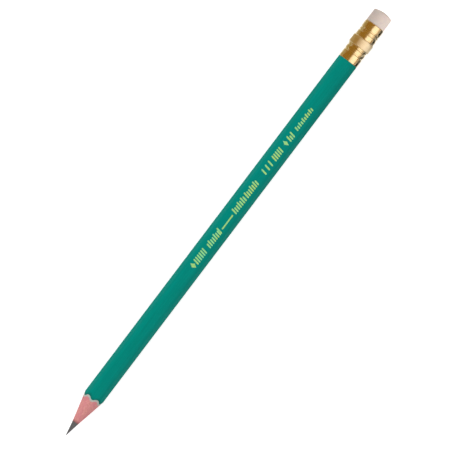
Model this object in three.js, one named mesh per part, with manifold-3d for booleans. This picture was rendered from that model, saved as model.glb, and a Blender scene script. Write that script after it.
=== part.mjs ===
// A sharpened hexagonal graphite pencil: a lead in a moulded casing, an undercoat and a colour
// skin over it, and an eraser held in a crimped ferrule.
//
// Millimetres. X runs along the pencil, from the point at -X to the eraser at +X, and Z is up.
// Two of the six flats lie level. The pencil's widest ring touches Z = 0 and the origin is in the
// middle of its length. Inside the group, X is the distance from the point and the axis is Z = 0.
import * as THREE from "three";
import { mergeVertices } from "three/addons/utils/BufferGeometryUtils.js";
import Module from "manifold-3d";

// The whole pencil
const PENCIL_LENGTH = 190;
const ACROSS_FLATS = 7.3;
const CORNER_ROUNDING = 2.3;

// The layers, from the outside in
const SKIN_THICKNESS = 0.08;
const UNDERCOAT_THICKNESS = 0.16;
const LAYER_GAP = 0.01;
const LEAD_RADIUS = 1.2;

// The sharpened end
const BARE_LEAD_LENGTH = 5.8;
const POINT_RADIUS = 0.08;
const SHARPENED_HALF_ANGLE = THREE.MathUtils.degToRad(13);

// The ferrule: a sheet-metal sleeve with a raised band and rolled-in crimps
const FERRULE_START = 168.15;
const FERRULE_END = 184.25;
const FERRULE_RADIUS = 3.9;
const FERRULE_WALL = 0.28;
const FERRULE_FIT = 0.03;
const BAND_START = 174.2;
const BAND_END = 177.9;
const BAND_RISE = 0.3;
const BAND_SHOULDER = 0.35;
const CASING_CRIMPS = [171.5, 173.5];
const ERASER_CRIMPS = [180.05, 181.25];
const CRIMP_WIDTH = 1.1;
const CRIMP_DEPTH = 0.2;
const LIP_LENGTH = 0.45;
const LIP_INSET = 0.2;

// What the ferrule holds
const CASING_END = 176;
const ERASER_START = 176.3;
const ERASER_RADIUS = 3.72;
const ERASER_EDGE_ROUNDING = 0.6;
const ERASER_DOME = 0.6;

// How finely curves are drawn
const ROUND_SEGMENTS = 36;
const CORNER_SEGMENTS = 4;
const CURVE_STEPS = 3;
const WELD_DISTANCE = 1e-4;

// Worked out from the dimensions above
const BORE_RADIUS = FERRULE_RADIUS - FERRULE_WALL;
const TENON_RADIUS = BORE_RADIUS - FERRULE_FIT;
const SHARPENED_APEX = BARE_LEAD_LENGTH - LEAD_RADIUS / Math.tan(SHARPENED_HALF_ANGLE);
const BEYOND_RADIUS = ACROSS_FLATS;
const SKIN_DEPTH = { outer: 0, inner: SKIN_THICKNESS };
const UNDERCOAT_DEPTH = {
  outer: SKIN_DEPTH.inner + LAYER_GAP,
  inner: SKIN_DEPTH.inner + LAYER_GAP + UNDERCOAT_THICKNESS,
};
const CASING_DEPTH = UNDERCOAT_DEPTH.inner + LAYER_GAP;

const manifold = await Module();
manifold.setup();

function solidFrom(geometry) {
  const bare = geometry.clone().deleteAttribute("normal").deleteAttribute("uv");
  const welded = mergeVertices(bare, WELD_DISTANCE);
  return new manifold.Manifold(
    new manifold.Mesh({
      numProp: 3,
      vertProperties: welded.attributes.position.array,
      triVerts: new Uint32Array(welded.index.array),
    }),
  );
}

function geometryFrom(solid) {
  const mesh = solid.getMesh();
  const geometry = new THREE.BufferGeometry();
  geometry.setAttribute("position", new THREE.BufferAttribute(mesh.vertProperties, 3));
  geometry.setIndex(new THREE.BufferAttribute(mesh.triVerts, 1));
  geometry.computeVertexNormals();
  return geometry;
}

// A solid turned about the pencil's axis. Each point of the outline is (radius, distance).
function turned(outline) {
  return new THREE.LatheGeometry(outline, ROUND_SEGMENTS).rotateZ(-Math.PI / 2);
}

// The body's section, shrunk by depth on every side: six flats joined by rounded corners.
function traceSection(outline, depth) {
  const rounding = CORNER_ROUNDING - depth;
  const reach = (ACROSS_FLATS / 2 - CORNER_ROUNDING) / Math.cos(Math.PI / 6);
  for (let corner = 0; corner < 6; corner += 1) {
    const middle = (corner + 0.5) * (Math.PI / 3);
    outline.absarc(
      reach * Math.cos(middle),
      reach * Math.sin(middle),
      rounding,
      middle - Math.PI / 6,
      middle + Math.PI / 6,
      false,
    );
  }
  return outline;
}

// A hexagonal bar from the point's plane to the given end.
function bar(section, end) {
  const options = { depth: end, bevelEnabled: false, curveSegments: CORNER_SEGMENTS };
  return new THREE.ExtrudeGeometry(section, options).rotateY(Math.PI / 2);
}

// Everything that a sharpener leaves standing: a cone that opens out past the body's corners.
function sharpenedSpace() {
  const outline = [
    new THREE.Vector2(0, SHARPENED_APEX),
    new THREE.Vector2(BEYOND_RADIUS, SHARPENED_APEX + BEYOND_RADIUS / Math.tan(SHARPENED_HALF_ANGLE)),
    new THREE.Vector2(BEYOND_RADIUS, PENCIL_LENGTH),
    new THREE.Vector2(0, PENCIL_LENGTH),
  ];
  return solidFrom(turned(outline));
}

// One rolled-in groove, on a wall of the given radius.
function addCrimp(outline, radius, centre) {
  outline.lineTo(radius, centre - CRIMP_WIDTH / 2);
  outline.quadraticCurveTo(radius - 2 * CRIMP_DEPTH, centre, radius, centre + CRIMP_WIDTH / 2);
}

// One smooth shoulder of the raised band, from one radius to another.
function addShoulder(outline, from, to, start) {
  const middle = start + BAND_SHOULDER / 2;
  outline.lineTo(from, start);
  outline.bezierCurveTo(from, middle, to, middle, to, start + BAND_SHOULDER);
}

// One face of the ferrule's sheet, from its open end over the casing to its lip on the eraser.
function sheetFace(radius) {
  const outline = new THREE.Path().moveTo(radius, FERRULE_START);
  CASING_CRIMPS.forEach((centre) => addCrimp(outline, radius, centre));
  addShoulder(outline, radius, radius + BAND_RISE, BAND_START);
  addShoulder(outline, radius + BAND_RISE, radius, BAND_END - BAND_SHOULDER);
  ERASER_CRIMPS.forEach((centre) => addCrimp(outline, radius, centre));
  outline.lineTo(radius, FERRULE_END - LIP_LENGTH);
  outline.quadraticCurveTo(radius, FERRULE_END, radius - LIP_INSET, FERRULE_END);
  return outline.getPoints(CURVE_STEPS);
}

function leadGeometry() {
  const taper = Math.atan2(LEAD_RADIUS - POINT_RADIUS, BARE_LEAD_LENGTH - POINT_RADIUS);
  const outline = new THREE.Path();
  outline.absarc(0, POINT_RADIUS, POINT_RADIUS, -Math.PI / 2, -taper, false);
  outline.lineTo(LEAD_RADIUS, BARE_LEAD_LENGTH);
  outline.lineTo(LEAD_RADIUS, CASING_END);
  outline.lineTo(0, CASING_END);
  return turned(outline.getPoints(CURVE_STEPS));
}

// What is left of the bar's back end once it is pushed into the ferrule and crimped there.
function tenonSpace() {
  const outline = new THREE.Path().moveTo(0, 0);
  outline.lineTo(BEYOND_RADIUS, 0);
  outline.lineTo(BEYOND_RADIUS, FERRULE_START);
  outline.lineTo(TENON_RADIUS, FERRULE_START);
  CASING_CRIMPS.forEach((centre) => addCrimp(outline, TENON_RADIUS, centre));
  outline.lineTo(TENON_RADIUS, CASING_END);
  outline.lineTo(0, CASING_END);
  return solidFrom(turned(outline.getPoints(CURVE_STEPS)));
}

function leadBore() {
  const radius = LEAD_RADIUS + LAYER_GAP;
  const outline = [
    new THREE.Vector2(0, 0),
    new THREE.Vector2(radius, 0),
    new THREE.Vector2(radius, PENCIL_LENGTH),
    new THREE.Vector2(0, PENCIL_LENGTH),
  ];
  return solidFrom(turned(outline));
}

function casingGeometry() {
  const section = traceSection(new THREE.Shape(), CASING_DEPTH);
  const sharpened = solidFrom(bar(section, CASING_END)).intersect(sharpenedSpace());
  return geometryFrom(sharpened.intersect(tenonSpace()).subtract(leadBore()));
}

// A layer of the body's coating, cut away with the casing by the sharpener. It stops at the ferrule.
function coatGeometry(depth) {
  const section = traceSection(new THREE.Shape(), depth.outer);
  section.holes.push(traceSection(new THREE.Path(), depth.inner));
  const coat = solidFrom(bar(section, FERRULE_START - FERRULE_FIT));
  return geometryFrom(coat.intersect(sharpenedSpace()));
}

function ferruleGeometry() {
  const outside = sheetFace(FERRULE_RADIUS);
  const inside = sheetFace(BORE_RADIUS).reverse();
  return turned([...outside, ...inside, outside[0]]);
}

// The plug: crimped inside the ferrule, pinched by its lip, swelling out beyond it, and domed at its end.
function eraserGeometry() {
  const pinched = TENON_RADIUS - LIP_INSET;
  const swellEnd = FERRULE_END + LIP_LENGTH;
  const edge = PENCIL_LENGTH - ERASER_DOME - ERASER_EDGE_ROUNDING;
  const domeReach = ERASER_RADIUS - ERASER_EDGE_ROUNDING;
  const outline = new THREE.Path().moveTo(0, ERASER_START);
  outline.lineTo(TENON_RADIUS, ERASER_START);
  ERASER_CRIMPS.forEach((centre) => addCrimp(outline, TENON_RADIUS, centre));
  outline.lineTo(TENON_RADIUS, FERRULE_END - LIP_LENGTH);
  outline.quadraticCurveTo(TENON_RADIUS, FERRULE_END - LIP_LENGTH / 2, pinched, FERRULE_END);
  outline.quadraticCurveTo(ERASER_RADIUS, FERRULE_END, ERASER_RADIUS, swellEnd);
  outline.lineTo(ERASER_RADIUS, edge);
  outline.absarc(domeReach, edge, ERASER_EDGE_ROUNDING, 0, Math.PI / 2, false);
  outline.quadraticCurveTo(domeReach / 2, PENCIL_LENGTH, 0, PENCIL_LENGTH);
  return turned(outline.getPoints(CURVE_STEPS));
}

function piece(name, geometry, color, roughness, metalness = 0) {
  const mesh = new THREE.Mesh(geometry, new THREE.MeshStandardMaterial({ color, roughness, metalness }));
  mesh.name = name;
  return mesh;
}

const pencil = new THREE.Group();
pencil.name = "graphite_pencil";
pencil.add(
  piece("graphite_lead", leadGeometry(), "#555557", 0.45, 0.2),
  piece("casing", casingGeometry(), "#cf8a88", 0.75),
  piece("undercoat", coatGeometry(UNDERCOAT_DEPTH), "#d5d6cd", 0.7),
  piece("colour_skin", coatGeometry(SKIN_DEPTH), "#018577", 0.35),
  piece("ferrule", ferruleGeometry(), "#e6c98c", 0.25, 1),
  piece("eraser", eraserGeometry(), "#d8c8c0", 0.85),
);
pencil.position.set(-PENCIL_LENGTH / 2, 0, FERRULE_RADIUS + BAND_RISE);

export default pencil;
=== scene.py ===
"""The looks of a sharpened graphite pencil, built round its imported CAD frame.

Each CAD node is replaced by a finer mesh of the same size in the same place, with a procedural
material, and the gold foil stamp is added on the top flat. Lengths are in millimetres until
place() turns them into the frame's metres. "along" is the distance from the point, and (y, z) is
counted from the pencil's axis.
"""
import math

import bmesh
import bpy
from mathutils import Matrix, Vector, noise


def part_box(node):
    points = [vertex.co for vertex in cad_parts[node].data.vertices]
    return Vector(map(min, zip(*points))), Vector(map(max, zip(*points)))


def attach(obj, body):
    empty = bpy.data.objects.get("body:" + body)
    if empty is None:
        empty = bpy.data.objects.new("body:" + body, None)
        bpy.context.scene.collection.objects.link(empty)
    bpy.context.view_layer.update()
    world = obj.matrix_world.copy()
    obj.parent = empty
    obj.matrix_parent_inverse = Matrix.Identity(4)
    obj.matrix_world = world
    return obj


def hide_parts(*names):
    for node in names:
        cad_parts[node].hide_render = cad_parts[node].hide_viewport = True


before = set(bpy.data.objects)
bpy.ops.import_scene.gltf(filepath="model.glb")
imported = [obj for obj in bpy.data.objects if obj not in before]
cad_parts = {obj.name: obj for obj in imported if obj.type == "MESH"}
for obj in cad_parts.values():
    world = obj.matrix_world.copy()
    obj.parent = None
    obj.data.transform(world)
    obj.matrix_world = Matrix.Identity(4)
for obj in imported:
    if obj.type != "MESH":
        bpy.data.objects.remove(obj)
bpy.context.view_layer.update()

MM = 0.001
BODY = "root"


# ---------------------------------------------------------------- sizes, read from the frame

def node_box(node):
    """A CAD node's lowest and highest corners, in millimetres."""
    low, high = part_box(node)
    return low / MM, high / MM


LEAD_LOW, LEAD_HIGH = node_box("graphite_lead")
CASING_LOW, CASING_HIGH = node_box("casing")
UNDERCOAT_LOW, UNDERCOAT_HIGH = node_box("undercoat")
SKIN_LOW, SKIN_HIGH = node_box("colour_skin")
FERRULE_LOW, FERRULE_HIGH = node_box("ferrule")
ERASER_LOW, ERASER_HIGH = node_box("eraser")

POINT_X = LEAD_LOW.x
AXIS_Z = (FERRULE_LOW.z + FERRULE_HIGH.z) / 2
LEAD_RADIUS = (LEAD_HIGH.z - LEAD_LOW.z) / 2
LAYER_GAP = 0.01
BORE_RADIUS = LEAD_RADIUS + LAYER_GAP
LEAD_END = LEAD_HIGH.x - POINT_X
PENCIL_LENGTH = ERASER_HIGH.x - POINT_X

# The body's section: half the distance across flats and across corners, and the corners' rounding
FLAT_REACH = (SKIN_HIGH.z - SKIN_LOW.z) / 2
CORNER_REACH = (SKIN_HIGH.y - SKIN_LOW.y) / 2
SHARP_CORNER_REACH = FLAT_REACH / math.cos(math.pi / 6)
CORNER_ROUNDING = (SHARP_CORNER_REACH - CORNER_REACH) / (1 / math.cos(math.pi / 6) - 1)
CORNER_CENTRE = CORNER_REACH - CORNER_ROUNDING

# The layers under the skin, as depths below the body's surface
UNDERCOAT_TOP = SKIN_HIGH.z - UNDERCOAT_HIGH.z
CASING_TOP = SKIN_HIGH.z - CASING_HIGH.z
SKIN_END = SKIN_HIGH.x - POINT_X
CASING_START = CASING_LOW.x - POINT_X
CASING_END = CASING_HIGH.x - POINT_X

# The sharpened cone, through the casing's front edge and the undercoat's front edge
UNDERCOAT_INNER_REACH = FLAT_REACH - CASING_TOP + LAYER_GAP
UNDERCOAT_START = UNDERCOAT_LOW.x - POINT_X
CONE_SLOPE = (UNDERCOAT_INNER_REACH - BORE_RADIUS) / (UNDERCOAT_START - CASING_START)
CONE_APEX = CASING_START - BORE_RADIUS / CONE_SLOPE
CONE_END = CONE_APEX + CORNER_REACH / CONE_SLOPE

# What the sharpener left: a blunt, uneven point off centre, a slanting cut and ridges, and how far the
# darker colour along the cut edge reaches
POINT_RADIUS = 0.08
POINT_OFF_CENTRE = -0.28
UNEVEN_SHARE = 0.012
CUT_SLANT = 0.06
CUT_EDGE_REACH = 0.9
RIDGE_PITCH = 0.42
RIDGE_HEIGHT = 0.012
RIDGE_FADE = 1 / 8

# The ferrule and the eraser
FERRULE_START = FERRULE_LOW.x - POINT_X
FERRULE_END = FERRULE_HIGH.x - POINT_X
BAND_RADIUS = (FERRULE_HIGH.z - FERRULE_LOW.z) / 2
BAND_RISE = 0.3
SLEEVE_RADIUS = BAND_RADIUS - BAND_RISE
SHEET = 0.28
SHEET_EDGE = 0.06
BAND_START = FERRULE_START + 6.05
BAND_END = FERRULE_START + 9.75
BAND_SHOULDER = 0.35
CASING_CRIMPS = (FERRULE_START + 3.35, FERRULE_START + 5.35)
ERASER_CRIMPS = (FERRULE_START + 11.9, FERRULE_START + 13.1)
CRIMP_HALF_WIDTH = 0.55
CRIMP_DEPTH = 0.2
LIP_LENGTH = 0.45
LIP_INSET = 0.2
RIBS = 56
RIB_HEIGHT = 0.07
SIDES_PER_RIB = 6
PRESS_FIT = 0.03
GRIPPED_RADIUS = SLEEVE_RADIUS - SHEET - PRESS_FIT
ERASER_START = ERASER_LOW.x - POINT_X
ERASER_RADIUS = (ERASER_HIGH.z - ERASER_LOW.z) / 2
ERASER_EDGE = 0.6
ERASER_DOME = 0.6
ERASER_DOME_POWER = 1.7
ERASER_WEAR = 0.1
ERASER_WEAR_LENGTH = 1
ERASER_DENTS = 0.03
ERASER_DENTS_FADE = 1.5


# ---------------------------------------------------------------- meshes

def lean(along):
    """How far the sharpener pushed the point off centre: most at the tip, nothing where the cone ends."""
    share = max(0, 1 - along / CONE_END)
    return POINT_OFF_CENTRE * share * (2 - share)


def place(along, y, z):
    """A point on the pencil, in the frame's metres."""
    return Vector(((POINT_X + along) * MM, (y + lean(along)) * MM, (AXIS_Z + z) * MM))


def placed(point):
    """The (along, y, z) that place() turned into a point."""
    along = point.x / MM - POINT_X
    return along, point.y / MM - lean(along), point.z / MM - AXIS_Z


def new_object(name, vertices, faces, sharp_angle=35):
    """A linked mesh object with its faces outward, smooth except across edges sharper than the angle."""
    mesh = bpy.data.meshes.new(name)
    mesh.from_pydata(vertices, [], faces)
    shell = bmesh.new()
    shell.from_mesh(mesh)
    bmesh.ops.recalc_face_normals(shell, faces=shell.faces)
    shell.to_mesh(mesh)
    shell.free()
    mesh.shade_smooth()
    mesh.set_sharp_from_angle(angle=math.radians(sharp_angle))
    made = bpy.data.objects.new(name, mesh)
    bpy.context.scene.collection.objects.link(made)
    return made


def loft(name, rings, closed=False, sharp_angle=35):
    """A skin over rings of equally many (along, y, z) points, closed on itself or capped at both ends."""
    count = len(rings[0])
    vertices = [place(*point) for ring in rings for point in ring]
    faces = []
    for index in range(len(rings) if closed else len(rings) - 1):
        here = index * count
        there = (index + 1) % len(rings) * count
        for side in range(count):
            after = (side + 1) % count
            faces.append((here + side, here + after, there + after, there + side))
    if not closed:
        for start in (0, (len(rings) - 1) * count):
            middle = len(vertices)
            vertices.append(sum(vertices[start:start + count], Vector()) / count)
            faces += [(start + side, start + (side + 1) % count, middle) for side in range(count)]
    return new_object(name, vertices, faces, sharp_angle)


def steps(start, end, count):
    """count + 1 evenly spaced values from start to end."""
    return [start + (end - start) * step / count for step in range(count + 1)]


def circle(along, radius, angles):
    return [(along, radius * math.cos(angle), radius * math.sin(angle)) for angle in angles]


def round_angles(count):
    return [2 * math.pi * side / count for side in range(count)]


def section(depth, arc_steps=10, flat_steps=12):
    """The body's section shrunk by depth, as (y, z) points round six rounded corners and six flats."""
    rounding = CORNER_ROUNDING - depth
    points = []
    for corner in range(6):
        middle = corner * math.pi / 3
        for angle in steps(middle - math.pi / 6, middle + math.pi / 6, arc_steps):
            y = CORNER_CENTRE * math.cos(middle) + rounding * math.cos(angle)
            z = CORNER_CENTRE * math.sin(middle) + rounding * math.sin(angle)
            points.append((y, z))
        flat_normal = middle + math.pi / 6
        following = middle + math.pi / 3
        end_y = CORNER_CENTRE * math.cos(following) + rounding * math.cos(flat_normal)
        end_z = CORNER_CENTRE * math.sin(following) + rounding * math.sin(flat_normal)
        start_y, start_z = points[-1]
        for share in steps(0, 1, flat_steps)[1:-1]:
            points.append((start_y + (end_y - start_y) * share, start_z + (end_z - start_z) * share))
    return points


def cone_along(y, z):
    """Where the sharpened cone reaches a place in the section. It was cut further back on the -Y side."""
    return CONE_APEX + math.hypot(y, z) / CONE_SLOPE - CUT_SLANT * y


# ---------------------------------------------------------------- pieces

def lead_profile():
    """(along, radius) from the rounded point down the ground cone and along the rod."""
    taper = math.atan2(LEAD_RADIUS - POINT_RADIUS, CASING_START - POINT_RADIUS)
    smallest_turn = 0.12
    profile = [(POINT_RADIUS - POINT_RADIUS * math.cos(turn), POINT_RADIUS * math.sin(turn))
               for turn in steps(smallest_turn, math.pi / 2 - taper, 6)]
    start_along, start_radius = profile[-1]
    for share in steps(0, 1, 40)[1:]:
        along = start_along + (CASING_START - start_along) * share
        profile.append((along, start_radius + (LEAD_RADIUS - start_radius) * share))
    return profile + [(along, LEAD_RADIUS) for along in steps(CASING_START, LEAD_END, 12)[1:]]


def lead_piece():
    """The graphite rod, ground to a slightly blunt, slightly uneven point."""
    angles = round_angles(72)
    along_scale = 1.5
    across_scale = 2
    rings = []
    for along, radius in lead_profile():
        sharpened = along / CASING_START if along <= CASING_START else 0
        ring = []
        for _, y, z in circle(along, 1, angles):
            spot = Vector((along * along_scale, y * across_scale, z * across_scale))
            uneven = UNEVEN_SHARE * noise.noise(spot) if sharpened else 0
            reach = radius * (1 - abs(uneven))
            ring.append((along - CUT_SLANT * y * radius * sharpened, y * reach, z * reach))
        rings.append(ring)
    return loft("lead_core", rings, sharp_angle=60)


def shaved_ring(surface, share):
    """A ring on the casing's cone, a share of the way from the bore out to the surface."""
    fade = min(1, share / RIDGE_FADE, (1 - share) / RIDGE_FADE)
    ring = []
    for y, z in surface:
        angle = math.atan2(z, y)
        radius = BORE_RADIUS + (math.hypot(y, z) - BORE_RADIUS) * share
        turn = (radius - BORE_RADIUS) / CONE_SLOPE / RIDGE_PITCH + angle / (2 * math.pi)
        shaved = radius - RIDGE_HEIGHT * fade * (0.5 + 0.5 * math.sin(2 * math.pi * turn))
        along = cone_along(radius * math.cos(angle), radius * math.sin(angle))
        ring.append((along, shaved * math.cos(angle), shaved * math.sin(angle)))
    return ring


def tenon_ring(surface, along):
    """A ring of the casing inside the ferrule, where its corners are pressed down to the bore."""
    limit = GRIPPED_RADIUS - crimp_cut(along, CASING_CRIMPS)
    ring = []
    for y, z in surface:
        angle = math.atan2(z, y)
        radius = min(math.hypot(y, z), limit)
        ring.append((along, radius * math.cos(angle), radius * math.sin(angle)))
    return ring


def casing_piece():
    """The pink casing: a cone with fine sharpening ridges, a hexagonal bar, and a tenon in the ferrule."""
    surface = section(CASING_TOP)
    rings = [shaved_ring(surface, share) for share in steps(0, 1, 110)]
    front = [along for along, _, _ in rings[-1]]
    for share in steps(0, 1, 12)[1:]:
        rings.append([(along + (SKIN_END - along) * share, y, z)
                      for along, (y, z) in zip(front, surface)])
    stations = sorted(set(steps(SKIN_END, CASING_END, 24)) | crimp_stations(CASING_CRIMPS))
    rings += [tenon_ring(surface, along) for along in stations[1:]]
    angles = [math.atan2(z, y) for y, z in surface]
    for along in steps(CASING_END, CASING_START, 12)[:-1]:
        rings.append(circle(along, BORE_RADIUS, angles))
    return loft("pink_casing", rings, closed=True)


def coat_piece(name, outer_depth, inner_depth, back_end):
    """A layer over the casing, from the cone's scalloped edge to the ferrule."""
    outside = section(outer_depth)
    inside = section(inner_depth)
    # Each station is a distance behind the cut edge and a share of the rest of the way to the back
    stations = [(CUT_EDGE_REACH * share, 0) for share in (0, 0.25, 0.5, 0.75)]
    stations += [(CUT_EDGE_REACH, share) for share in steps(0, 1, 16)]

    def ring(points, offset, share):
        fronts = [cone_along(y, z) + offset for y, z in points]
        return [(front + (back_end - front) * share, y, z) for front, (y, z) in zip(fronts, points)]

    rings = [ring(outside, *station) for station in stations]
    rings += [ring(inside, *station) for station in reversed(stations)]
    coat = loft(name, rings, closed=True, sharp_angle=20)
    edge = coat.data.attributes.new("cut_edge", "FLOAT", "POINT")
    for vertex, value in zip(coat.data.vertices, edge.data):
        along, y, z = placed(vertex.co)
        value.value = max(0, 1 - (along - cone_along(y, z)) / CUT_EDGE_REACH)
    return coat


def crimp_cut(along, centres):
    """How deep the rolled-in grooves are at a place, each one a smooth dip."""
    cut = 0
    for centre in centres:
        away = abs(along - centre) / CRIMP_HALF_WIDTH
        if away < 1:
            cut += CRIMP_DEPTH * (0.5 + 0.5 * math.cos(math.pi * away))
    return cut


def crimp_stations(centres):
    """The places along the pencil where a groove needs a ring."""
    found = set()
    for centre in centres:
        found.update(steps(centre - CRIMP_HALF_WIDTH, centre + CRIMP_HALF_WIDTH, 12))
    return found


def band_share(along):
    """0 on the sleeve, 1 on the raised band, and a smooth shoulder between them."""
    rise = (along - BAND_START) / BAND_SHOULDER
    fall = (BAND_END - along) / BAND_SHOULDER
    share = max(0, min(1, rise, fall))
    return share * share * (3 - 2 * share)


def lip_inset(along):
    """How far the sheet is turned in where it ends on the eraser."""
    share = max(0, (along - (FERRULE_END - LIP_LENGTH)) / LIP_LENGTH)
    return LIP_INSET * (1 - math.sqrt(max(0, 1 - share * share)))


def sheet_radius(along):
    """How far the outside of the ferrule's sheet is from the axis, leaving out the ribs."""
    grooves = crimp_cut(along, CASING_CRIMPS + ERASER_CRIMPS)
    return SLEEVE_RADIUS + BAND_RISE * band_share(along) - grooves - lip_inset(along)


def ferrule_stations():
    """The places along the ferrule that need a ring, in order."""
    stations = {FERRULE_START, BAND_START, BAND_END}
    stations |= set(steps(FERRULE_START, FERRULE_END, 32))
    stations |= crimp_stations(CASING_CRIMPS + ERASER_CRIMPS)
    stations |= set(steps(BAND_START, BAND_START + BAND_SHOULDER * 2, 12))
    stations |= set(steps(BAND_END - BAND_SHOULDER * 2, BAND_END, 12))
    stations |= set(steps(FERRULE_END - LIP_LENGTH, FERRULE_END, 10))
    return sorted(stations)


def ribbed_ring(along, angles):
    """A ring of the ferrule's outside. The ribs run along the flat top of the band and fade at its ends."""
    rib_room = BAND_SHOULDER * 0.6
    into_band = min(along - BAND_START - rib_room, BAND_END - rib_room - along) / rib_room
    ribbed = max(0, min(1, into_band))
    radius = sheet_radius(along)
    ring = []
    for angle in angles:
        rib = RIB_HEIGHT * ribbed * (0.5 + 0.5 * math.cos(RIBS * angle))
        reach = radius - RIB_HEIGHT * ribbed + rib
        ring.append((along, reach * math.cos(angle), reach * math.sin(angle)))
    return ring


def ferrule_piece():
    """The sheet-metal sleeve: grooves, a raised band with lengthwise ribs, and a turned-in lip."""
    angles = round_angles(RIBS * SIDES_PER_RIB)
    stations = ferrule_stations()
    outside = [ribbed_ring(along, angles) for along in stations]
    outside[0] = circle(FERRULE_START, SLEEVE_RADIUS - SHEET_EDGE, angles)
    outside.insert(1, circle(FERRULE_START + SHEET_EDGE, SLEEVE_RADIUS, angles))
    inside = [circle(along, sheet_radius(along) - SHEET, angles) for along in reversed(stations[::2])]
    return loft("gold_ferrule", outside + inside, closed=True, sharp_angle=50)


def eraser_profile(edge_start):
    """(along, radius) from the gripped end past the lip and over the worn edge to the domed end."""
    pinched = GRIPPED_RADIUS - LIP_INSET
    inside_end = FERRULE_END - LIP_LENGTH
    outside_start = FERRULE_END + LIP_LENGTH
    profile = [(ERASER_START, GRIPPED_RADIUS * share) for share in steps(0.25, 1, 3)]
    for along in sorted(set(steps(ERASER_START, inside_end, 16)) | crimp_stations(ERASER_CRIMPS)):
        profile.append((along, GRIPPED_RADIUS - crimp_cut(along, ERASER_CRIMPS)))
    for share in steps(0, 1, 6)[1:]:
        radius = GRIPPED_RADIUS + (pinched - GRIPPED_RADIUS) * share ** 2
        profile.append((inside_end + LIP_LENGTH * share, radius))
    for turn in steps(0, math.pi / 2, 8)[1:]:
        radius = pinched + (ERASER_RADIUS - pinched) * math.sin(turn)
        profile.append((FERRULE_END + LIP_LENGTH * (1 - math.cos(turn)), radius))
    profile += [(along, ERASER_RADIUS) for along in steps(outside_start, edge_start, 18)[1:]]
    for turn in steps(0, math.pi / 2, 10)[1:]:
        radius = ERASER_RADIUS - ERASER_EDGE * (1 - math.cos(turn))
        profile.append((edge_start + ERASER_EDGE * math.sin(turn), radius))
    for share in steps(0.96, 0.06, 12):
        radius = (ERASER_RADIUS - ERASER_EDGE) * share
        profile.append((PENCIL_LENGTH - ERASER_DOME * share ** ERASER_DOME_POWER, radius))
    return profile


def eraser_piece():
    """The white plug: gripped inside the ferrule, swelling out past its lip, with a worn round edge."""
    angles = round_angles(96)
    edge_start = PENCIL_LENGTH - ERASER_DOME - ERASER_EDGE
    worn_start = edge_start - ERASER_WEAR_LENGTH
    dents_start = FERRULE_END + LIP_LENGTH
    dent_scale = 0.7
    rings = []
    for along, radius in eraser_profile(edge_start):
        exposed = max(0, min(1, (along - dents_start) / ERASER_DENTS_FADE))
        worn = ERASER_WEAR * max(0, (along - worn_start) / (PENCIL_LENGTH - worn_start))
        out = radius / ERASER_RADIUS
        ring = []
        for angle in angles:
            y, z = radius * math.cos(angle), radius * math.sin(angle)
            spot = Vector((along * dent_scale, y * dent_scale, z * dent_scale))
            bumps = 0.5 + 0.5 * noise.noise(spot)
            reach = radius - ERASER_DENTS * exposed * bumps * out
            back = worn * (1 + math.cos(angle) * out) / 2
            ring.append((along - back, reach * math.cos(angle), reach * math.sin(angle)))
        rings.append(ring)
    return loft("white_eraser", rings)


# ---------------------------------------------------------------- the foil stamp

FOIL_THICKNESS = 0.018
FOIL_LIFT = 0.002
STAMP_HEIGHT = 2.5
SMALL_STAMP_HEIGHT = 1.7
STROKE_WIDTH = 0.6
STROKE_PITCH = 0.98
STROKE_LEAN = 0.18


def surface_height(y):
    """How high the body's top is above the axis at a distance from the middle of the top flat."""
    flat_half = CORNER_CENTRE / 2
    over = max(0, abs(y) - flat_half)
    return FLAT_REACH - CORNER_ROUNDING + math.sqrt(CORNER_ROUNDING ** 2 - over ** 2)


def foil_mark(rows):
    """One thin closed mark from (y, lowest along, highest along) rows, laid on the curved top."""
    vertices = []
    for lift in (FOIL_LIFT, FOIL_LIFT + FOIL_THICKNESS):
        for y, low, high in rows:
            height = surface_height(y) + lift
            vertices += [place(low, y, height), place(high, y, height)]
    count = len(rows)
    faces = []
    for row in range(count - 1):
        left = row * 2
        top = left + count * 2
        faces.append((left, left + 2, left + 3, left + 1))
        faces.append((top, top + 1, top + 3, top + 2))
        faces.append((left, top, top + 2, left + 2))
        faces.append((left + 1, left + 3, top + 3, top + 1))
    for row in (0, count - 1):
        left = row * 2
        faces.append((left, left + 1, left + 1 + count * 2, left + count * 2))
    return vertices, faces


def stroke_rows(along, low, high):
    """A leaning stroke with rounded ends, between two heights on the flat."""
    rows = []
    half = STROKE_WIDTH / 2
    blunt_end = 0.15
    for y in steps(low, high, 10):
        to_end = min(y - low, high - y)
        narrow = math.sqrt(max(blunt_end, 1 - max(0, 1 - to_end / half) ** 2))
        middle = along + STROKE_LEAN * y
        rows.append((y, middle - half * narrow, middle + half * narrow))
    return rows


def lozenge_rows(along, half_length, half_height):
    """A lozenge with blunt tips."""
    rows = []
    blunt_tip = 0.06
    for y in steps(-half_height, half_height, 8):
        reach = max(blunt_tip, half_length * (1 - abs(y) / half_height))
        rows.append((y, along - reach, along + reach))
    return rows


def stroke_group(start, end, height, rhythm):
    """Strokes at an even pitch from start to end. The rhythm gives each one's share of the height."""
    count = max(1, round((end - start - STROKE_WIDTH) / STROKE_PITCH) + 1)
    base = -height / 2
    marks = []
    for index in range(count):
        along = start + STROKE_WIDTH / 2 + STROKE_PITCH * index
        top = base + height * rhythm[index % len(rhythm)]
        marks.append(stroke_rows(along, base, top))
    return marks


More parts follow.
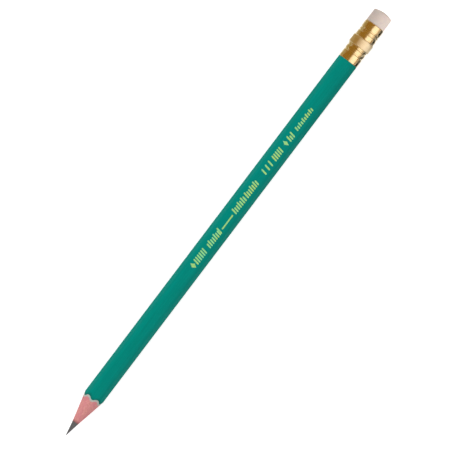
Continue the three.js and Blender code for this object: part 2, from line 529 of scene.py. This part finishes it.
def stamp_marks():
    """The stamp, by distance from the point: lozenges, groups of strokes and a long rule."""
    full = STAMP_HEIGHT
    rule_heights = steps(-0.65, -0.15, 2)
    tall_and_short = (1, 0.8, 0.8, 1, 0.8)
    marks = [lozenge_rows(76.3, 0.85, full / 2)]
    marks += stroke_group(77.7, 83.6, full, (1,))
    marks += stroke_group(85.0, 91.0, full, (0.8, 1, 0.8))
    marks.append(stroke_rows(91.8, -full / 2, full / 2 + 0.15))
    marks.append([(y, 92.9, 99.2) for y in rule_heights])
    marks += stroke_group(100.3, 106.8, full, tall_and_short)
    marks += stroke_group(107.5, 113.7, full, tall_and_short)
    marks += [stroke_rows(along, -full / 2, full / 2) for along in (118.3, 120.3, 122.1)]
    marks += stroke_group(124.0, 128.7, full, (1,))
    marks.append(lozenge_rows(131.2, 0.75, full / 2))
    marks += stroke_group(132.8, 135.2, full, (1, 0.7))
    marks += stroke_group(137.3, 146.7, SMALL_STAMP_HEIGHT, (1, 0.75))
    return marks


def foil_piece():
    """All the marks of the stamp, as one piece."""
    vertices = []
    faces = []
    for rows in stamp_marks():
        mark_vertices, mark_faces = foil_mark(rows)
        offset = len(vertices)
        vertices += mark_vertices
        faces += [tuple(index + offset for index in face) for face in mark_faces]
    return new_object("foil_marks", vertices, faces, sharp_angle=30)


# ---------------------------------------------------------------- materials

def srgb(red, green, blue):
    """A screen colour, 0 to 255, as the linear colour that shaders take."""
    def linear(value):
        share = value / 255
        return share / 12.92 if share <= 0.04045 else ((share + 0.055) / 1.055) ** 2.4
    return (linear(red), linear(green), linear(blue), 1)


class Surface:
    """A material with one Principled shader, and short ways to wire patterns into it."""

    def __init__(self, name, **values):
        self.material = bpy.data.materials.new(name)
        self.material.use_nodes = True
        self.nodes = self.material.node_tree.nodes
        self.links = self.material.node_tree.links
        self.shader = self.nodes["Principled BSDF"]
        for socket, value in values.items():
            self.shader.inputs[socket.replace("_", " ")].default_value = value
        self.position = self.nodes.new("ShaderNodeTexCoord").outputs["Object"]

    def scaled(self, x, y, z):
        """Object coordinates, multiplied per axis: large numbers make a fine pattern along that axis."""
        mapping = self.nodes.new("ShaderNodeMapping")
        mapping.inputs["Scale"].default_value = (x, y, z)
        self.links.new(self.position, mapping.inputs["Vector"])
        return mapping.outputs["Vector"]

    def noise(self, scale, detail=3, roughness=0.55, distortion=0):
        """A 0 to 1 noise, with its scale per axis in cells for each metre."""
        texture = self.nodes.new("ShaderNodeTexNoise")
        texture.inputs["Scale"].default_value = 1
        texture.inputs["Detail"].default_value = detail
        texture.inputs["Roughness"].default_value = roughness
        texture.inputs["Distortion"].default_value = distortion
        self.links.new(self.scaled(*scale), texture.inputs["Vector"])
        return texture.outputs["Fac"]

    def ramp(self, factor, low, high):
        """A colour by factor, between two (position, colour) stops."""
        made = self.nodes.new("ShaderNodeValToRGB")
        for element, (position, colour) in zip(made.color_ramp.elements, (low, high)):
            element.position = position
            element.color = colour
        self.links.new(factor, made.inputs["Fac"])
        return made.outputs["Color"]

    def between(self, start, end):
        """0 at one distance from the point and 1 at another, and level past them."""
        apart = self.nodes.new("ShaderNodeSeparateXYZ")
        self.links.new(self.position, apart.inputs["Vector"])
        return self.spread(apart.outputs["X"], 0, 1, (POINT_X + start) * MM, (POINT_X + end) * MM)

    def attribute(self, name):
        made = self.nodes.new("ShaderNodeAttribute")
        made.attribute_name = name
        return made.outputs["Fac"]

    def product(self, first, second):
        return self.combined("MULTIPLY", first, second)

    def total(self, first, second):
        return self.combined("ADD", first, second)

    def combined(self, operation, first, second):
        """Two values put through a Math node. product() and total() name its operations."""
        made = self.nodes.new("ShaderNodeMath")
        made.operation = operation
        self.links.new(first, made.inputs[0])
        self.links.new(second, made.inputs[1])
        return made.outputs[0]

    def spread(self, factor, low, high, start=0, end=1):
        """factor between start and end, turned into a value from low to high."""
        made = self.nodes.new("ShaderNodeMapRange")
        values = (("From Min", start), ("From Max", end), ("To Min", low), ("To Max", high))
        for socket, value in values:
            made.inputs[socket].default_value = value
        self.links.new(factor, made.inputs["Value"])
        return made.outputs["Result"]

    def mix(self, factor, first, second):
        """Two colours mixed. Each may be a socket or a plain colour, and factor a socket or a number."""
        factor_in, first_in, second_in, result_out = 0, 6, 7, 2
        made = self.nodes.new("ShaderNodeMix")
        made.data_type = "RGBA"
        for index, value in ((factor_in, factor), (first_in, first), (second_in, second)):
            if isinstance(value, bpy.types.NodeSocket):
                self.links.new(value, made.inputs[index])
            else:
                made.inputs[index].default_value = value
        return made.outputs[result_out]

    def wire(self, **sockets):
        for name, output in sockets.items():
            self.links.new(output, self.shader.inputs[name.replace("_", " ")])
        return self

    def bump(self, height, strength, distance):
        """Adds relief to the shader's normal, on top of any there already."""
        made = self.nodes.new("ShaderNodeBump")
        made.inputs["Strength"].default_value = strength
        made.inputs["Distance"].default_value = distance * MM
        self.links.new(height, made.inputs["Height"])
        normal = self.shader.inputs["Normal"]
        if normal.is_linked:
            self.links.new(normal.links[0].from_socket, made.inputs["Normal"])
        self.links.new(made.outputs["Normal"], normal)
        return self


def skin_material():
    """Extruded teal plastic: faint lengthwise streaks, a fine pebble, and a darker colour in patches along
    the cut edge at the cone.
    """
    surface = Surface("teal_plastic", Specular_IOR_Level=0.03)
    streaks = surface.noise((60, 2600, 2600), detail=4)
    patches = surface.noise((180, 420, 420), detail=3)
    streaked = surface.ramp(streaks, (0.3, srgb(0, 131, 117)), (0.7, srgb(0, 140, 127)))
    rubbed = surface.mix(surface.spread(patches, 0, 0.5, 0.45, 0.75), streaked, srgb(0, 130, 120))
    # Darker teal in patches within CUT_EDGE_REACH of the cut edge
    darkening = surface.product(surface.attribute("cut_edge"), surface.spread(patches, 0.1, 0.75, 0.3, 0.7))
    surface.wire(
        Base_Color=surface.mix(darkening, rubbed, srgb(14, 62, 58)),
        Roughness=surface.spread(patches, 0.38, 0.52, 0.3, 0.7),
    )
    surface.bump(streaks, 0.12, 0.02)
    return surface.bump(surface.noise((3200, 3200, 3200), detail=2), 0.12, 0.02).material


def undercoat_material():
    """Pale matt primer, seen as a thin line along the cut edge."""
    surface = Surface("pale_undercoat", Roughness=0.7, Specular_IOR_Level=0.2)
    grain = surface.noise((5000, 5000, 5000), detail=3)
    surface.wire(Base_Color=surface.ramp(grain, (0.3, srgb(166, 172, 164)), (0.7, srgb(196, 200, 190))))
    return surface.bump(grain, 0.3, 0.03).material


def casing_material():
    """Pink wood substitute: fine fibres, mottled pink and orange, shaved matt, soiled round the lead."""
    surface = Surface("pink_casing", Specular_IOR_Level=0.15)
    fibres = surface.noise((900, 4200, 4200), detail=5, roughness=0.65)
    mottle = surface.noise((380, 620, 620), detail=3, distortion=0.6)
    flecks = surface.noise((2600, 5200, 5200), detail=2)
    base = surface.ramp(fibres, (0.28, srgb(200, 126, 122)), (0.72, srgb(236, 164, 158)))
    tinted = surface.mix(surface.spread(mottle, 0, 0.65, 0.4, 0.65), base, srgb(212, 128, 140))
    pale = surface.mix(surface.spread(flecks, 0, 0.6, 0.66, 0.76), tinted, srgb(238, 190, 180))
    near_lead = surface.spread(surface.between(CASING_START, CASING_START + 1.1), 1, 0)
    darkening = surface.product(near_lead, surface.spread(fibres, 0.5, 0.95, 0.3, 0.6))
    surface.wire(
        Base_Color=surface.mix(darkening, pale, srgb(104, 66, 66)),
        Roughness=surface.spread(fibres, 0.62, 0.82, 0.3, 0.7),
    )
    surface.bump(fibres, 0.35, 0.05)
    return surface.bump(flecks, 0.2, 0.03).material


def graphite_material():
    """Ground graphite: dark, with a soft sheen and fine turning marks."""
    surface = Surface("graphite", Metallic=0.1, Specular_IOR_Level=0.3)
    turning = surface.noise((7000, 1200, 1200), detail=3)
    grain = surface.noise((5200, 5200, 5200), detail=4, roughness=0.7)
    surface.wire(
        Base_Color=surface.ramp(grain, (0.3, srgb(72, 72, 73)), (0.7, srgb(116, 116, 117))),
        Roughness=surface.spread(turning, 0.42, 0.6, 0.3, 0.7),
    )
    surface.bump(turning, 0.35, 0.03)
    return surface.bump(grain, 0.25, 0.02).material


def ferrule_material():
    """Pale gold sheet metal: drawn lines, a little haze and tarnish, and a duller ribbed band whose paler
    colour is a painted highlight.
    """
    surface = Surface("gold_metal", Metallic=1.0, Specular_IOR_Level=0.5)
    drawn = surface.noise((120, 5200, 5200), detail=4)
    haze = surface.noise((900, 900, 900), detail=3)
    lacquer = surface.ramp(drawn, (0.3, srgb(238, 216, 168)), (0.7, srgb(248, 232, 192)))
    tarnish = surface.spread(haze, 0, 0.4, 0.5, 0.8)
    after_start = surface.between(BAND_START, BAND_START + BAND_SHOULDER)
    before_end = surface.between(BAND_END, BAND_END - BAND_SHOULDER)
    on_band = surface.product(after_start, before_end)
    tarnished = surface.mix(tarnish, lacquer, srgb(222, 184, 116))
    polish = surface.spread(haze, 0.18, 0.32, 0.3, 0.7)
    surface.wire(
        # The band's paler gold is a painted highlight: the same sheet metal, coloured lighter so that it
        # looks brighter
        Base_Color=surface.mix(on_band, tarnished, srgb(250, 236, 204)),
        Roughness=surface.total(polish, surface.spread(on_band, 0, 0.12)),
    )
    surface.bump(drawn, 0.1, 0.01)
    return surface.bump(haze, 0.12, 0.06).material


def eraser_material():
    """Soft white rubber: chalky, with fine pores and faint warm and cool smudges."""
    surface = Surface(
        "white_rubber",
        Specular_IOR_Level=0.2,
        Subsurface_Weight=0.15,
        Subsurface_Scale=0.4 * MM,
    )
    pores = surface.noise((4200, 4200, 4200), detail=5, roughness=0.7)
    smudge = surface.noise((420, 420, 420), detail=3, distortion=0.4)
    chalk = surface.ramp(pores, (0.3, srgb(206, 190, 178)), (0.7, srgb(226, 210, 198)))
    surface.wire(
        Base_Color=surface.mix(surface.spread(smudge, 0, 0.6, 0.45, 0.7), chalk, srgb(204, 186, 186)),
        Roughness=surface.spread(pores, 0.72, 0.9, 0.3, 0.7),
    )
    return surface.bump(pores, 0.5, 0.05).material


def foil_material():
    """Hot-stamped foil: pale green gold, a little broken where the stamp pressed unevenly."""
    surface = Surface("gold_foil", Metallic=0.15, Specular_IOR_Level=0.2)
    wear = surface.noise((2600, 2600, 2600), detail=3)
    patches = surface.noise((330, 700, 700), detail=2)
    tones = surface.ramp(patches, (0.35, srgb(140, 222, 154)), (0.65, srgb(176, 218, 114)))
    surface.wire(
        Base_Color=surface.mix(surface.spread(wear, 0, 0.6, 0.5, 0.7), tones, srgb(104, 184, 132)),
        Roughness=surface.spread(wear, 0.32, 0.5, 0.3, 0.7),
    )
    return surface.bump(wear, 0.3, 0.02).material


# ---------------------------------------------------------------- the object

def finish_piece(piece, material, node=None):
    """Rides a piece on the pencil, colours it and hides the CAD node it stands for."""
    piece.data.materials.append(material)
    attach(piece, BODY)
    if node:
        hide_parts(node)


def build_pencil():
    finish_piece(lead_piece(), graphite_material(), "graphite_lead")
    finish_piece(casing_piece(), casing_material(), "casing")
    undercoat = coat_piece("undercoat_layer", UNDERCOAT_TOP, CASING_TOP - LAYER_GAP, SKIN_END)
    finish_piece(undercoat, undercoat_material(), "undercoat")
    skin = coat_piece("teal_skin", 0, UNDERCOAT_TOP - LAYER_GAP, SKIN_END)
    finish_piece(skin, skin_material(), "colour_skin")
    finish_piece(ferrule_piece(), ferrule_material(), "ferrule")
    finish_piece(eraser_piece(), eraser_material(), "eraser")
    finish_piece(foil_piece(), foil_material())


# ---------------------------------------------------------------- the studio

# In metres, like the lamps' distances
FLOOR_REACH = 4.0
FLOOR_GAP = 0.02 * MM
CARD_HEIGHT = 0.3 * MM
LAMP_SIZE = (1.0, 0.8)
WINDOW_SIZE = (2.4, 1.35)


def panel(name, corners, material):
    """A flat card or floor that belongs to the studio and not to the pencil."""
    mesh = bpy.data.meshes.new(name)
    mesh.from_pydata(corners, [], [tuple(range(len(corners)))])
    mesh.materials.append(material)
    made = bpy.data.objects.new(name, mesh)
    bpy.context.scene.collection.objects.link(made)
    return made


def floor():
    """A pale, glowing table, tipped so that the pencil rests on its band and on its lower flat's front."""
    band_x = (POINT_X + (BAND_START + BAND_END) / 2) * MM
    front_x = SKIN_LOW.x * MM
    rise = SKIN_LOW.z * MM / (band_x - front_x)
    pale, paler = ((shade, shade, shade, 1) for shade in (0.72, 0.74))
    surface = Surface("pale_table", Roughness=0.9, Specular_IOR_Level=0.1)
    surface.shader.inputs["Emission Color"].default_value = (1, 1, 1, 1)
    rays = surface.nodes.new("ShaderNodeLightPath")
    surface.wire(Emission_Strength=surface.spread(rays.outputs["Is Camera Ray"], 0.2, 0.6))
    weave = surface.noise((300, 300, 300), detail=2)
    surface.wire(Base_Color=surface.ramp(weave, (0.3, pale), (0.7, paler)))
    corners = []
    for side_x, side_y in ((-1, -1), (1, -1), (1, 1), (-1, 1)):
        x = side_x * FLOOR_REACH
        corners.append((x, side_y * FLOOR_REACH, (band_x - x) * rise - FLOOR_GAP))
    panel("floor", corners, surface.material)


def softbox(name, toward, distance, size, power):
    """An area light facing the pencil's middle, its size along and across it. Reflections leave it out."""
    lamp = bpy.data.lights.new(name, "AREA")
    lamp.shape = "RECTANGLE"
    lamp.size, lamp.size_y = size
    lamp.energy = power
    made = bpy.data.objects.new(name, lamp)
    direction = Vector(toward).normalized()
    made.location = direction * distance
    made.rotation_euler = direction.to_track_quat("Z", "Y").to_euler()
    made.visible_camera = False
    made.visible_glossy = False
    bpy.context.scene.collection.objects.link(made)
    return made


def keep_off(lamp, piece):
    """Stops a lamp from lighting one piece."""
    receivers = bpy.data.collections.new(lamp.name + "_misses")
    receivers.objects.link(piece)
    lamp.light_linking.receiver_collection = receivers
    receivers.collection_objects[0].light_linking.link_state = "EXCLUDE"


def keep_to(lamp, piece):
    """Makes a lamp light one piece and nothing else."""
    receivers = bpy.data.collections.new(lamp.name + "_lights")
    receivers.objects.link(piece)
    lamp.light_linking.receiver_collection = receivers


def leaning(degrees, side):
    """A direction that many degrees from straight up, towards side +1 (+Y) or -1 (-Y)."""
    angle = math.radians(degrees)
    return (0, side * math.sin(angle), math.cos(angle))


def sky(light, reflection):
    """An even surround of one colour as light, and a darker, warmer one in reflections."""
    world = bpy.data.worlds.new("studio")
    bpy.context.scene.world = world
    world.use_nodes = True
    nodes = world.node_tree.nodes
    links = world.node_tree.links
    rays = nodes.new("ShaderNodeLightPath")
    choice = nodes.new("ShaderNodeMixShader")
    links.new(rays.outputs["Is Glossy Ray"], choice.inputs["Fac"])
    for slot, colour in ((1, light), (2, reflection)):
        background = nodes.new("ShaderNodeBackground")
        background.inputs["Color"].default_value = (*colour, 1)
        links.new(background.outputs["Background"], choice.inputs[slot])
    links.new(choice.outputs["Shader"], nodes["World Output"].inputs["Surface"])


def card(name, start, end, near, far, glow):
    """A card beside the ferrule, seen only in reflections: from start to end along, near to far in y."""
    surface = Surface(name, Roughness=1.0, Specular_IOR_Level=0.0, Emission_Strength=1.0)
    surface.shader.inputs["Base Color"].default_value = (0, 0, 0, 1)
    surface.shader.inputs["Emission Color"].default_value = (*glow, 1)
    places = ((start, near), (end, near), (end, far), (start, far))
    corners = [((POINT_X + along) * MM, y * MM, CARD_HEIGHT) for along, y in places]
    made = panel(name, corners, surface.material)
    made.visible_camera = False
    made.visible_diffuse = False
    made.visible_shadow = False


def studio():
    """A pale table and soft light. Cards on both sides of the ferrule shape what its metal reflects."""
    floor()
    margin = 30
    first = FERRULE_START - margin
    last = PENCIL_LENGTH + margin
    dark = (0.01, 0.01, 0.01)
    card("front_dark_card", first, BAND_START, near=-8, far=-60, glow=dark)
    card("back_dark_card", BAND_END, last, near=-8, far=-60, glow=dark)
    card("warm_card", first, last, near=9.5, far=300, glow=(0.42, 0.33, 0.15))
    sky(light=(0.52, 0.52, 0.52), reflection=(0.31, 0.165, 0.025))
    eraser = bpy.data.objects["white_eraser"]
    key = softbox("key", leaning(57, 1), distance=1.2, size=LAMP_SIZE, power=3.7)
    keep_off(key, eraser)
    eraser_light = softbox("eraser_light", leaning(62, -1), distance=1.2, size=LAMP_SIZE, power=6.0)
    keep_to(eraser_light, eraser)
    softbox("overhead", leaning(0, 1), distance=1.5, size=LAMP_SIZE, power=7.4)
    window = softbox("window", leaning(38, -1), distance=1.0, size=WINDOW_SIZE, power=10.5)
    window.visible_glossy = True
    window.visible_diffuse = False


def camera():
    """Straight down on the stamped flat, turned so that the pencil runs from lower left to upper right."""
    shown_width = 161.5
    slant = math.radians(52.9)
    right = 0.07
    up = -0.41
    data = bpy.data.cameras.new("camera")
    data.lens = 300
    data.sensor_width = 36
    data.clip_start = 0.01
    made = bpy.data.objects.new("camera", data)
    turned = Matrix.Rotation(-slant, 4, "Z")
    away = shown_width / data.sensor_width * data.lens
    offset = turned @ Vector((right, up, away))
    middle = place(PENCIL_LENGTH / 2, 0, 0)
    made.matrix_world = Matrix.Translation(middle + offset * MM) @ turned
    bpy.context.scene.collection.objects.link(made)
    bpy.context.scene.camera = made


def main():
    build_pencil()
    studio()
    camera()
    bpy.context.scene.view_settings.view_transform = "Standard"


main()
